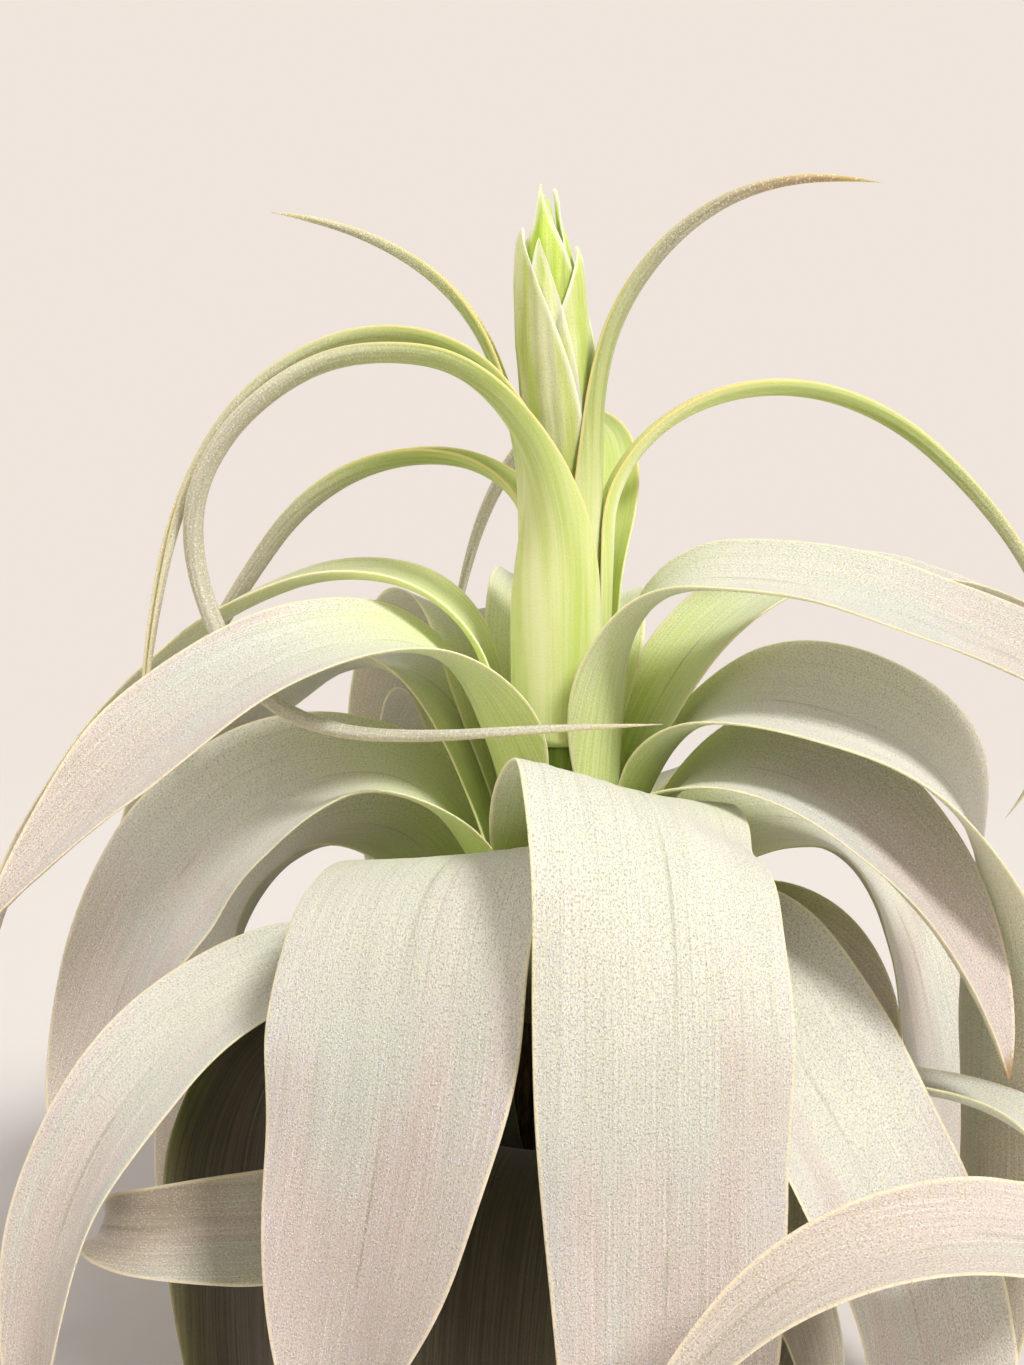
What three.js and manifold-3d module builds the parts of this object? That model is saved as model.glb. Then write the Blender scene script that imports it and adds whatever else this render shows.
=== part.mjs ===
// A large air plant of the xerographica kind: a rosette of broad, recurving silver leaves on a short
// hidden stem, with a young flower spike rising from its heart.
// Units are millimetres and degrees. +Z is up, the origin is the middle of the stem's flat foot, and
// the front of the plant faces -Y.
import * as THREE from "three";
import { mergeVertices } from "three/addons/utils/BufferGeometryUtils.js";
import Module from "manifold-3d";

const wasm = await Module();
wasm.setup();

// ---------------------------------------------------------------- driving dimensions

const STEM_PROFILE = [[14, 0], [16, 6], [16, 70], [14, 120], [11, 155], [7, 186]]; // radius, height
const STEM_SIDES = 18;
const SEAT_GAP = 0.4; // between the stem and the root of each leaf

const WALK_STEPS = 120; // steps in which a leaf's midline is walked
const SECTION_SPACING = 16; // between the sections of a leaf's solid
const ACROSS = 4; // facets across a leaf

const BLADE = { thickness: 1.5, tipThickness: 1, rootThickness: 1, edgeShare: 0.65, tipWidth: 1.8 };
const ROOT_LENGTH = 50; // along a leaf, over which it grows to its full thickness
const SHEATH_START = 18; // along a leaf, up to here it lies on a surface of revolution round the stem
const SHEATH_END = 62; // and from here on it has its own channelled section
const SHEATH = { narrows: 30, ends: 80 }; // along a whip, where its sheath runs out into the tendril
const TENDRIL_WIDTH = 7;

const SPIKE = {
  sides: 12,
  // radius and height up the core
  profile: [[6.6, 186.4], [6.8, 240], [7, 262], [6.4, 280], [4, 297], [1.8, 308], [0.8, 312.5]],
  // azimuth, seat, length, width and tip slope of each scale: past 90 its tip leans in over the spike
  scales: [[-70, 234, 52, 16, 96], [110, 238, 54, 16, 97], [195, 242, 56, 15, 104], [15, 247, 54, 14, 106],
    [-110, 252, 52, 13, 112], [60, 257, 50, 11, 116], [-165, 262, 50, 9, 117]],
  scaleRoot: 5, // radius from which the scales grow, inside the spike
  sunk: 5, // how far a scale's inner face is sunk into the spike, so that no hollow is left behind it
  leansFrom: 262,
  lean: 0.08, // sideways for each millimetre above that
};

// ---------------------------------------------------------------- leaf table
// seat: height of the root on the stem. pitch: slope of the midline, 90 is straight up.
// turn: how far its heading has swung from azimuth. roll: tilt of the blade about its midline.

const LEAVES = [];
const leaf = (name, azimuth, seat, length, width, pitch, extra = {}) =>
  LEAVES.push({ name, azimuth, seat, length, width, pitch, kind: "strap", ...extra });

// Old leaves at the foot: short, curled under on the surface.
const FOOT_SEAT = 26;
for (let i = 0; i < 9; i += 1) {
  const drop = ((i * 4) % 9) * 3;
  leaf(`foot_leaf_${i + 1}`, 12 + i * 40, FOOT_SEAT + drop, 112 + drop, 33,
    [[0, 60], [24, 46], [42, -8], [60, -64], [76 + drop, -94], [112 + drop, -172]]);
}
// Middle leaves: they arch over the foot leaves and reach down to the surface. The second number is
// how far the hanging part has swung round.
const SKIRT_SEAT = 70;
const SKIRT = [[-104, 0], [-4, 0], [34, 0], [74, 0], [112, 0], [150, 0], [-172, 58]];
SKIRT.forEach(([azimuth, swing], i) => {
  const drop = ((i * 3) % 7) * 3;
  leaf(`skirt_leaf_${i + 1}`, azimuth, SKIRT_SEAT + drop, 176 + drop, 42,
    [[0, 66], [30, 50], [52, 0], [76, -60], [104 + drop, -86], [142 + drop, -94], [176 + drop, -150]],
    { turn: [[0, 0], [52, 0], [96, swing]] });
});
leaf("right_curl_leaf", -32.4, 58, 285, 26,
  [[0, 64], [45, 48], [90, 15], [130, -8], [150, -2], [172, 14], [190, 22], [208, 4], [225, -20],
    [245, -44], [285, -66]],
  { turn: [[0, 0], [100, 0], [130, -29], [160, -83], [190, -121], [220, -139], [285, -144]],
    roll: [[0, 0], [80, -10], [130, -20], [180, -30], [285, -30]] });
leaf("ribbon_leaf", -135, 50, 142, 28,
  [[0, 54], [46, 30], [80, 2], [104, -4], [120, -24], [142, -50]],
  { turn: [[0, 0], [60, -4], [84, -40], [104, -48], [120, -100], [142, -150]],
    roll: [[0, 0], [55, -6], [84, -56], [110, -60], [142, -40]] });
leaf("low_left_leaf", -149, 84.5, 238, 38,
  [[0, 75], [40, 64], [66, 20], [88, -8], [116, -36], [146, -60], [176, -80], [238, -96]],
  { roll: [[0, 0], [70, -3], [100, -5], [140, -12]] });

// Broad leaves seen in the picture, lowest seat first.
leaf("under_right_leaf", -16, 100, 106, 36,
  [[0, 71], [40, 58], [62, -6], [80, -46], [106, -66]],
  { turn: [[0, 0], [70, -2]], roll: [[0, 0], [60, 8]] });
leaf("front_right_leaf", -56.5, 102.5, 245, 49,
  [[0, 77], [40, 60], [64, -2], [82, -38], [125, -50], [155, -73], [212, -88], [245, -125]],
  { turn: [[0, 0], [60, 4], [140, 8.5], [190, -22], [260, -30]], roll: [[0, 0], [70, 6], [160, 0]] });
leaf("front_left_leaf", -118.5, 121, 216, 58,
  [[0, 74], [40, 58], [75, 0], [101, -58], [132, -78], [190, -82], [216, -96]],
  { cup: 0.08, turn: [[0, 0], [70, 8], [120, 14], [165, -60]],
    roll: [[0, 0], [50, 8], [80, 14], [120, 8], [165, -60]] });
leaf("front_leaf", -73.5, 127, 290, 54,
  [[0, 77], [42, 66], [86, 0], [116, -58], [144, -84], [258, -88], [290, -124]],
  { cup: -0.12, turn: [[0, 0], [60, -4], [130, -14]],
    roll: [[0, 0], [34, 0], [58, 3], [86, -25], [132, -14], [200, -3]] });
leaf("low_right_leaf", -31, 137.8, 155, 43,
  [[0, 77], [36, 62], [66, 2], [98, -40], [140, -65], [155, -72]],
  { turn: [[0, 0], [50, -4], [80, -5]], roll: [[0, 0], [60, 14], [96, 8], [130, 0]] });
leaf("left_leaf", -175, 137.5, 200, 50.5,
  [[0, 77], [34, 56], [58, -3], [88, -38], [124, -64], [200, -84]],
  { roll: [[0, 0], [56, -6], [80, -26], [104, -38], [200, -40]] });
leaf("right_leaf", -6, 146, 290, 48,
  [[0, 80], [38, 63], [70, 6], [98, -22], [124, -66], [146, -86], [265, -90], [290, -120]],
  { turn: [[0, 0], [40, -24], [75, -30], [110, -10], [160, 24], [290, 26]],
    roll: [[0, 0], [70, 14], [130, 8], [200, 0]] });
leaf("upper_right_leaf", -24, 160, 217, 37,
  [[0, 90], [43, 86], [59, 53], [77, 5], [123, -18], [183, -28], [217, -58]],
  { standoff: 2.2, roll: [[0, 0], [76, 10], [146, 15]] });
leaf("inner_right_leaf", 22, 150, 216, 30,
  [[0, 80], [36, 67], [56, 52], [80, 26], [102, 0], [140, -17], [180, -34], [216, -50]],
  { roll: [[0, 0], [80, 6]] });
leaf("upper_left_leaf", -154, 163, 174, 38,
  [[0, 82], [36, 66], [62, 10], [90, -20], [130, -42], [174, -46]],
  { roll: [[0, 0], [60, -8], [95, -15], [130, -26], [174, -10]] });
leaf("slender_left_leaf", 176, 174, 250, 24,
  [[0, 82], [32, 73], [60, 12], [86, -20], [120, -40], [165, -56], [250, -84]],
  { standoff: 1.3, turn: [[0, 0], [60, -6], [250, 4]] });

// The rear half of the rosette, out of the picture.
leaf("back_right_leaf", 72, 108, 258, 50,
  [[0, 77], [40, 60], [72, 0], [104, -50], [140, -72], [226, -88], [258, -124]],
  { roll: [[0, 0], [90, -8]] });
leaf("back_left_leaf", 158, 110.5, 238, 45,
  [[0, 77], [40, 60], [65, -4], [92, -47], [122, -74], [182, -86], [220, -92], [238, -112]],
  { turn: [[0, 0], [66, 0], [112, 42], [158, 54]], roll: [[0, 0], [80, -10], [110, 0]] });
leaf("right_back_leaf", 14, 112, 250, 48,
  [[0, 78], [40, 61], [69, -2], [97, -47], [129, -74], [224, -88], [250, -116]],
  { turn: [[0, 0], [68, 0], [112, -48], [160, -60]], roll: [[0, 0], [70, 14], [110, 0]] });
leaf("back_leaf", 108, 126, 274, 50,
  [[0, 77], [40, 61], [72, 0], [104, -52], [140, -76], [244, -88], [274, -122]],
  { roll: [[0, 0], [90, 10]] });
leaf("upper_back_leaf", 111, 151, 240, 44,
  [[0, 80], [40, 66], [74, 4], [108, -30], [150, -52], [200, -70], [240, -84]],
  { roll: [[0, 0], [90, 6]] });
leaf("upper_back_left_leaf", 144, 141, 235, 42,
  [[0, 82], [40, 68], [72, 4], [105, -26], [150, -46], [200, -62], [235, -80]],
  { roll: [[0, 0], [90, 12]] });
leaf("upper_back_right_leaf", 86, 160, 225, 42,
  [[0, 82], [38, 68], [66, 4], [100, -24], [145, -44], [195, -60], [225, -80]],
  { roll: [[0, 0], [90, 8]] });

// Leafy bracts: a sheath that stands off the stalk by standoff, then a long slender tendril.
leaf("back_left_bract", 109, 181, 225, 18,
  [[0, 88], [34, 86], [54, 71], [68, 32], [82, 4], [109, -28], [134, -52], [185, -60], [225, -80]],
  { kind: "whip", standoff: 1.6, tendril: 11, turn: [[0, 0], [40, 0], [60, 46], [80, 55], [225, 55]] });
leaf("curling_bract", -97, 188, 312, 23,
  [[0, 89], [42, 88], [62, 72], [86, 38], [99, 8], [113, -6], [128, -28], [144, -44], [159, -64],
    [172, -87], [191, -118], [209, -147], [227, -170], [247, -184], [272, -189], [312, -185]],
  { kind: "whip", standoff: 5.1,
    turn: [[0, 0], [30, 0], [55, -60], [90, -93], [130, -95], [160, -93], [190, -123], [212, -123],
      [245, -113], [312, -100]],
    roll: [[0, 0], [30, 0], [55, 40], [80, 36], [105, 10], [130, 0]] });
leaf("left_arch_bract", -104, 187, 234, 24,
  [[0, 89], [45, 89], [62, 72], [81, 57], [96, 24], [108, 5], [127, -20], [149, -44], [167, -62],
    [188, -72], [234, -80]],
  { kind: "whip", standoff: 1.9,
    turn: [[0, 0], [35, 0], [60, -58], [82, -88], [100, -97], [131, -87], [150, -77], [168, -64],
      [188, -36], [234, -11]],
    roll: [[0, 0], [35, 0], [60, 40], [82, 32], [105, 10], [131, 0]] });
leaf("right_arch_bract", 10, 187, 240, 19,
  [[0, 89], [50, 88], [60, 66], [72, 44], [84, 24], [98, 6], [117, -18], [140, -40], [165, -51],
    [190, -68], [210, -95], [240, -125]],
  { kind: "whip", standoff: 2.8, turn: [[0, 0], [60, -10], [240, -16]] });
leaf("upper_right_bract", -25, 196, 155, 20,
  [[0, 89], [64, 89], [79, 76], [89, 63], [101, 50], [115, 34], [130, 14], [146, -4], [155, -9]],
  { kind: "whip", standoff: 0.3 });
leaf("upper_left_bract", 175, 197, 140, 17,
  [[0, 89], [46, 89], [60, 78], [78, 68], [92, 50], [107, 32], [124, 18], [140, 8]],
  { kind: "whip", standoff: 0.2 });
leaf("rear_arch_bract", 40, 197, 196, 15,
  [[0, 87], [26, 84], [42, 62], [58, 36], [76, 12], [100, -14], [124, -40], [156, -64], [196, -80]],
  { kind: "whip", standoff: 4.6, turn: [[0, 0], [22, 2], [44, 40], [74, 66], [120, 86], [196, 96]] });

// ---------------------------------------------------------------- leaf solids

const RAD = Math.PI / 180;
const Z_AXIS = new THREE.Vector3(0, 0, 1);
const mix = (a, b, share) => a + (b - a) * share;

function smoothstep(from, to, value) {
  const share = Math.min(1, Math.max(0, (value - from) / (to - from)));
  return share * share * (3 - 2 * share);
}

// A value that is given at some distances along a leaf, as [distance, value], with straight runs between.
function along(stations, distance) {
  const next = stations.findIndex(([place]) => place > distance);
  if (next < 0) return stations.at(-1)[1];
  if (next === 0) return stations[0][1];
  const [[d0, v0], [d1, v1]] = [stations[next - 1], stations[next]];
  return mix(v0, v1, (distance - d0) / (d1 - d0));
}

function stemRadius(height) {
  const above = STEM_PROFILE.findIndex(([, z]) => z > height);
  if (above < 1) return STEM_PROFILE.at(-1)[0];
  const [[r0, z0], [r1, z1]] = [STEM_PROFILE[above - 1], STEM_PROFILE[above]];
  return mix(r0, r1, (height - z0) / (z1 - z0));
}

// Walks a leaf's midline from its seat. Each step has a point and a frame: forward along the leaf,
// side across it, and up out of its inner face.
function walkMidline({ azimuth, seat, length, pitch, standoff = 0, turn = [[0, 0]], roll = [[0, 0]] }) {
  const radius = stemRadius(seat) + SEAT_GAP + BLADE.thickness / 2 + standoff;
  const point = new THREE.Vector3(radius * Math.cos(azimuth * RAD), radius * Math.sin(azimuth * RAD), seat);
  const frameAt = (t) => {
    const slope = along(pitch, t * length) * RAD;
    const heading = (azimuth + along(turn, t * length)) * RAD;
    const forward = new THREE.Vector3(
      Math.cos(slope) * Math.cos(heading), Math.cos(slope) * Math.sin(heading), Math.sin(slope));
    const side = new THREE.Vector3(-Math.sin(heading), Math.cos(heading), 0);
    side.applyAxisAngle(forward, along(roll, t * length) * RAD);
    return { forward, side, up: forward.clone().cross(side) };
  };
  const steps = [{ t: 0, point: point.clone(), ...frameAt(0) }];
  for (let i = 0; i < WALK_STEPS; i += 1) {
    point.addScaledVector(frameAt((i + 0.5) / WALK_STEPS).forward, length / WALK_STEPS);
    const t = (i + 1) / WALK_STEPS;
    steps.push({ t, point: point.clone(), ...frameAt(t) });
  }
  return steps;
}

// A strap tapers evenly to its tip. A whip narrows from its sheath to a long slender tendril.
function widthAt({ kind, width, length, tendril = TENDRIL_WIDTH }, t) {
  const root = mix(0.5, 1, smoothstep(0, 0.22, t));
  if (kind === "strap") return Math.max(BLADE.tipWidth, width * root * (1 - t ** 4) ** 0.9);
  if (kind === "scale") return Math.max(BLADE.tipWidth, width * (1 - t ** 2) ** 0.7);
  const slender = mix(width, tendril, smoothstep(SHEATH.narrows, SHEATH.ends, t * length));
  return Math.max(BLADE.tipWidth, slender * (1 - t ** 2.5) ** 0.8);
}

// Half the angle of the arc that the section follows.
function cupAt({ kind, cup = 0.5 }, t) {
  return kind !== "whip" ? mix(cup, 1, smoothstep(0.5, 1, t)) : mix(0.9, 1.5, smoothstep(0.2, 0.6, t));
}

function leafGeometry(spec) {
  const steps = walkMidline(spec);
  const sections = Math.round(spec.length / SECTION_SPACING);
  const vertices = [];
  for (let i = 0; i <= sections; i += 1) {
    const { t, point, side, up } = steps[Math.round((i / sections) * WALK_STEPS)];
    const half = widthAt(spec, t) / 2;
    const cup = cupAt(spec, t);
    const arcRadius = half / cup;
    const reach = Math.hypot(point.x, point.y);
    const own = smoothstep(SHEATH_START, SHEATH_END, t * spec.length);
    const grown = mix(BLADE.thickness, BLADE.tipThickness, t);
    const middle = mix(BLADE.rootThickness, grown, smoothstep(0, ROOT_LENGTH, t * spec.length));
    const sunk = (spec.sunk ?? 0) * (1 - 0.7 * t);
    for (let j = 0; j <= ACROSS; j += 1) {
      const q = (2 * j) / ACROSS - 1;
      const swing = (q * half) / Math.max(reach, 1);
      const wrapped = point.clone().applyAxisAngle(Z_AXIS, swing);
      const wrappedUp = up.clone().applyAxisAngle(Z_AXIS, swing);
      const cupped = point.clone()
        .addScaledVector(side, arcRadius * Math.sin(cup * q))
        .addScaledVector(up, arcRadius * (1 - Math.cos(cup * q)));
      const cuppedUp = up.clone().multiplyScalar(Math.cos(cup * q))
        .addScaledVector(side, -Math.sin(cup * q));
      const place = wrapped.lerp(cupped, own);
      const out = wrappedUp.lerp(cuppedUp, own).normalize();
      const halfThickness = (middle * mix(1, BLADE.edgeShare, q * q)) / 2;
      vertices.push(place.clone().addScaledVector(out, halfThickness + sunk));
      vertices.push(place.clone().addScaledVector(out, -halfThickness));
    }
  }
  const inner = (i, j) => 2 * (i * (ACROSS + 1) + j);
  const outer = (i, j) => inner(i, j) + 1;
  const triangles = [];
  const quad = (a, b, c, d) => triangles.push(a, b, c, a, c, d);
  for (let i = 0; i < sections; i += 1) {
    for (let j = 0; j < ACROSS; j += 1) {
      quad(inner(i, j), inner(i + 1, j), inner(i + 1, j + 1), inner(i, j + 1));
      triangles.push(outer(i, j), outer(i + 1, j + 1), outer(i + 1, j));
      triangles.push(outer(i, j), outer(i, j + 1), outer(i + 1, j + 1));
    }
    quad(inner(i, ACROSS), inner(i + 1, ACROSS), outer(i + 1, ACROSS), outer(i, ACROSS));
    quad(inner(i, 0), outer(i, 0), outer(i + 1, 0), inner(i + 1, 0));
  }
  for (let j = 0; j < ACROSS; j += 1) {
    quad(inner(0, j), inner(0, j + 1), outer(0, j + 1), outer(0, j));
    quad(inner(sections, j), outer(sections, j), outer(sections, j + 1), inner(sections, j + 1));
  }
  const geometry = new THREE.BufferGeometry().setFromPoints(vertices);
  geometry.setIndex(triangles);
  geometry.computeVertexNormals();
  return geometry;
}

// ---------------------------------------------------------------- flower spike

function solidFrom(geometry) {
  const closed = mergeVertices(geometry.clone().deleteAttribute("normal").deleteAttribute("uv"), 1e-4);
  return new wasm.Manifold(new wasm.Mesh({
    numProp: 3,
    vertProperties: closed.attributes.position.array,
    triVerts: new Uint32Array(closed.index.array),
  }));
}

function geometryFrom(solid) {
  const { vertProperties, triVerts } = solid.getMesh();
  const geometry = new THREE.BufferGeometry();
  geometry.setAttribute("position", new THREE.BufferAttribute(new Float32Array(vertProperties), 3));
  geometry.setIndex(new THREE.BufferAttribute(new Uint32Array(triVerts), 1));
  geometry.computeVertexNormals();
  return geometry;
}

function latheUp(profile, sides) {
  const points = [[0, profile[0][1]], ...profile, [0, profile.at(-1)[1]]];
  const outline = points.map(([radius, height]) => new THREE.Vector2(radius, height));
  return new THREE.LatheGeometry(outline, sides).rotateX(Math.PI / 2);
}

function spikeGeometry() {
  const scales = SPIKE.scales.map(([azimuth, seat, length, width, tipSlope]) => solidFrom(leafGeometry({
    azimuth, seat, length, width, kind: "scale", sunk: SPIKE.sunk,
    standoff: SPIKE.scaleRoot - stemRadius(seat) - SEAT_GAP,
    pitch: [[0, 84], [0.5 * length, 89], [length, tipSlope]],
  })));
  const joined = wasm.Manifold.union([solidFrom(latheUp(SPIKE.profile, SPIKE.sides)), ...scales]);
  const [body] = joined.decompose().sort((a, b) => b.volume() - a.volume()); // sealed slits are filled
  const geometry = geometryFrom(body);
  const place = geometry.attributes.position;
  for (let i = 0; i < place.count; i += 1) {
    place.setX(i, place.getX(i) - SPIKE.lean * Math.max(0, place.getZ(i) - SPIKE.leansFrom));
  }
  return geometry;
}

// ---------------------------------------------------------------- the plant

const MATERIALS = {
  stem: { color: 0x7a6a50, roughness: 0.95 },
  strap: { color: 0xc9cbbf, roughness: 0.85 },
  whip: { color: 0xb9c487, roughness: 0.8 },
  spike: { color: 0xb7cf62, roughness: 0.7 },
};

const plant = new THREE.Group();
function add(name, geometry, material) {
  const look = new THREE.MeshStandardMaterial({ ...MATERIALS[material], metalness: 0 });
  const mesh = new THREE.Mesh(geometry, look);
  mesh.name = name;
  plant.add(mesh);
}
add("stem", latheUp(STEM_PROFILE, STEM_SIDES), "stem");
add("spike", spikeGeometry(), "spike");
for (const spec of LEAVES) add(spec.name, leafGeometry(spec), spec.kind);

export default plant;
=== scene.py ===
"""A large air plant: its silver leaves, bracts and flower spike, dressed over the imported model.

Lengths in the tables are millimetres and angles are degrees. Every leaf is a blade carried along a
walked midline, with the same seats, slopes and turns as the solids it stands for.
"""
import math

import bpy
import numpy as np
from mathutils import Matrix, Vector


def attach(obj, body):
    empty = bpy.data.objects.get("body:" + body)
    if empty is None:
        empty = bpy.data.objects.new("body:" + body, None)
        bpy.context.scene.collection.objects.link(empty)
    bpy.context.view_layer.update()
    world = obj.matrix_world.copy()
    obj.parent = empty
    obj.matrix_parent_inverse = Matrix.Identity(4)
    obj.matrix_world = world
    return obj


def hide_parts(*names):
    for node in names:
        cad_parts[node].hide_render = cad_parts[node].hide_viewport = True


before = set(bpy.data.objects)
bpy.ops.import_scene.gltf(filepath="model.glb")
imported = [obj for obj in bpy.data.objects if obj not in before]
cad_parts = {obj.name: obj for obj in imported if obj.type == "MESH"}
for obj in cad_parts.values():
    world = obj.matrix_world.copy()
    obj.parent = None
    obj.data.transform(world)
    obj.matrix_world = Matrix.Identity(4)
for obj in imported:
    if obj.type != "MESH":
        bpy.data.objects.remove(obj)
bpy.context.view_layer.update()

MM = 0.001

# ---------------------------------------------------------------- driving dimensions

STEM_PROFILE = [[14, 0], [16, 6], [16, 70], [14, 120], [11, 155], [7, 186]]  # radius, height
STEM_SIDES, STEM_SECTIONS = 96, 180
RING_INSET, RING_DEPTH, RING_SPACING = 0.25, 0.2, 6.5  # the rings left round the stem by old leaves

SEAT_GAP = 0.4
SOLID_THICKNESS = 1.5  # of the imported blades, whose seats these ones share
ROOT_THICKNESS = 1.0
BLADE_THICKNESS = 1.4
TIP_THICKNESS = 0.8
THICKENED = 50  # along a blade, where it has its full thickness
SHEATH_START, SHEATH_END = 18, 62  # along a leaf, where it leaves the stem's round for its own channel
SHEATH_NARROWS, SHEATH_DONE = 30, 80  # along a bract, where its sheath runs out into the tendril
TENDRIL_WIDTH = 10  # of the blade, before it is rolled
TENDRIL_ROLLS = (60, 130)  # along a bract, where its channel closes
TENDRIL_THICKENS, TENDRIL_THICKER = (60, 110), 1.4
SECTION_STEP, FEWEST_SECTIONS = 1.7, 24  # along a blade
SOFTENED = 5.0  # reach over which the bends of a midline are eased
EASING_READS = 9

# half the angle, in radians, of the arc that a blade's section follows
WHIP_CUPS = (0.9, 2.15)  # of a sheath and of the tendril that it runs out into
STRAP_CUP, TIP_CUP, FLATTEST_CUP = 0.5, 1, 0.01

ROOT_SHARE, ROOT_DONE = 0.5, 0.22  # a strap's width at its root, and the share where it is full
NARROWEST_HALF = 0.05
EDGE_WAVER, EDGE_WAVER_LENGTH = 0.012, 9.5  # of the half width
WAVES_START = (70, 120)  # along a leaf, where its margins begin to wave
WAVE_SHARE, HIGHEST_WAVE = 0.025, 0.6  # of the half width, and in millimetres
WAVE_LENGTHS, SECOND_WAVE = (6.8, 13.1), 0.7
RIB_HEIGHT, RIB_WIDTHS, RIBS_START = 0.07, (4.6, 6.9, 11.3), (50, 90)
FOLD_HEIGHT, FOLD_OFFSET, FOLD_LEVEL, FOLD_START = 0.9, 0.12, 0.2, (60, 110)

SPIKE_CORE = [[6.6, 186.4], [6.8, 240], [7, 262], [6.4, 280], [4, 297], [1.8, 308], [0.8, 312.5]]
CORE_TOP, CORE_SECTIONS, CORE_SIDES = 309, 90, 36
CORE_INSET, CORE_NARROWS = 0.7, (236, 250)  # makes room for the sheaths round it
# azimuth and top height of each sheath round the spike, its half spread in degrees at the root, how
# far it lies inside the outermost ones, and the height of its root
SPIKE_SHEATHS = [[-150, 303, 110, 0.5, 236], [-22, 299, 138, 1.4, 236], [-108, 300.5, 60, 1.0, 250],
                 [62, 297, 96, 0.7, 238], [132, 301, 100, 1.1, 240], [-105, 312.4, 112, 2.3, 262],
                 [10, 311.6, 120, 2.7, 264]]
SHEATH_FORM = [[236, 6.9], [250, 7.6], [264, 8.9], [278, 9.1], [290, 8.5], [300, 6.8], [306, 4.9],
               [312.4, 3.1]]  # height, and radius of the outermost sheaths there
SHEATH_SECTIONS, SHEATH_HALF_THICKNESS = 84, 0.4
BUD_STARTS_INSIDE = 1.2  # sheaths that lie further in than this are coloured as the bud
FIRST_SHEATH_SEED = 60
SPIKE_LEANS_FROM, SPIKE_LEAN = 262, 0.08

# ---------------------------------------------------------------- leaf table
# seat: height of the root on the stem. pitch: slope of the midline, 90 is straight up.
# turn: how far its heading has swung from azimuth. roll: tilt of the blade about its midline.
# age: 0 fresh, 1 old. green: how far along the leaf its green reaches.

LEAVES = []


def leaf(name, azimuth, seat, length, width, pitch, **more):
    """Adds one leaf to the table, a strap unless it says otherwise."""
    LEAVES.append({"name": name, "azimuth": azimuth, "seat": seat, "length": length, "width": width,
                   "pitch": pitch, "kind": "strap", "standoff": 0, "turn": [[0, 0]], "roll": [[0, 0]],
                   "tendril": TENDRIL_WIDTH, "age": 0.0, "green": 70, "slot": "leaf", **more})


DROP_STEP = 3  # by which the seats and lengths of one tier differ
FOOT_LEAVES = 9
for i in range(FOOT_LEAVES):  # old leaves at the foot, curled under just above the surface
    drop = ((i * 4) % FOOT_LEAVES) * DROP_STEP
    leaf(f"foot_leaf_{i + 1}", 12 + i * 40, 26 + drop, 112 + drop, 33,
         [[0, 60], [24, 46], [42, -8], [60, -64], [76 + drop, -94], [112 + drop, -172]],
         age=0.75, green=0, slot="old_leaf")
# the azimuth of each middle leaf, which hangs to just above the surface, and how far its hanging part
# has swung round; the two that show between the front leaves are made the oldest, which also paints
# their low parts dark brown as the shade there
SKIRT = [[-104, 0], [-4, 0], [34, 0], [74, 0], [112, 0], [150, 0], [-172, 58]]
OLDEST_AND_SHADED = (0, 6)
for i, (azimuth, swing) in enumerate(SKIRT):
    drop = ((i * 3) % len(SKIRT)) * DROP_STEP
    leaf(f"skirt_leaf_{i + 1}", azimuth, 70 + drop, 176 + drop, 42,
         [[0, 66], [30, 50], [52, 0], [76, -60], [104 + drop, -86], [142 + drop, -94],
          [176 + drop, -150]], turn=[[0, 0], [52, 0], [96, swing]],
         age=1.0 if i in OLDEST_AND_SHADED else 0.6, green=10, slot="old_leaf")
leaf("right_curl_leaf", -32.4, 58, 285, 26,
     [[0, 64], [45, 48], [90, 15], [130, -8], [150, -2], [172, 14], [190, 22], [208, 4], [225, -20],
      [245, -44], [285, -66]], age=0.2, green=40,
     turn=[[0, 0], [100, 0], [130, -29], [160, -83], [190, -121], [220, -139], [285, -144]],
     roll=[[0, 0], [80, -10], [130, -20], [180, -30], [285, -30]])
leaf("ribbon_leaf", -135, 50, 142, 28,
     [[0, 54], [46, 30], [80, 2], [104, -4], [120, -24], [142, -50]], age=0.6, green=30,
     turn=[[0, 0], [60, -4], [84, -40], [104, -48], [120, -100], [142, -150]],
     roll=[[0, 0], [55, -6], [84, -56], [110, -60], [142, -40]])
leaf("low_left_leaf", -149, 84.5, 238, 38,
     [[0, 75], [40, 64], [66, 20], [88, -8], [116, -36], [146, -60], [176, -80], [238, -96]],
     age=0.2, green=50, roll=[[0, 0], [70, -3], [100, -5], [140, -12]])

leaf("under_right_leaf", -16, 100, 106, 36,
     [[0, 71], [40, 58], [62, -6], [80, -46], [106, -66]],
     age=0.5, turn=[[0, 0], [70, -2]], roll=[[0, 0], [60, 8]])
leaf("front_right_leaf", -56.5, 102.5, 245, 49,
     [[0, 77], [40, 60], [64, -2], [82, -38], [125, -50], [155, -73], [212, -88], [245, -125]],
     green=60, turn=[[0, 0], [60, 4], [140, 8.5], [190, -22], [260, -30]],
     roll=[[0, 0], [70, 6], [160, 0]])
leaf("front_left_leaf", -118.5, 121, 216, 58,
     [[0, 74], [40, 58], [75, 0], [101, -58], [132, -78], [190, -82], [216, -96]],
     cup=0.08, green=66, turn=[[0, 0], [70, 8], [120, 14], [165, -60]],
     roll=[[0, 0], [50, 8], [80, 14], [120, 8], [165, -60]])
leaf("front_leaf", -73.5, 127, 290, 54,
     [[0, 77], [42, 66], [86, 0], [116, -58], [144, -84], [258, -88], [290, -124]],
     cup=-0.12, green=72, turn=[[0, 0], [60, -4], [130, -14]],
     roll=[[0, 0], [34, 0], [58, 3], [86, -25], [132, -14], [200, -3]])
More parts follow.
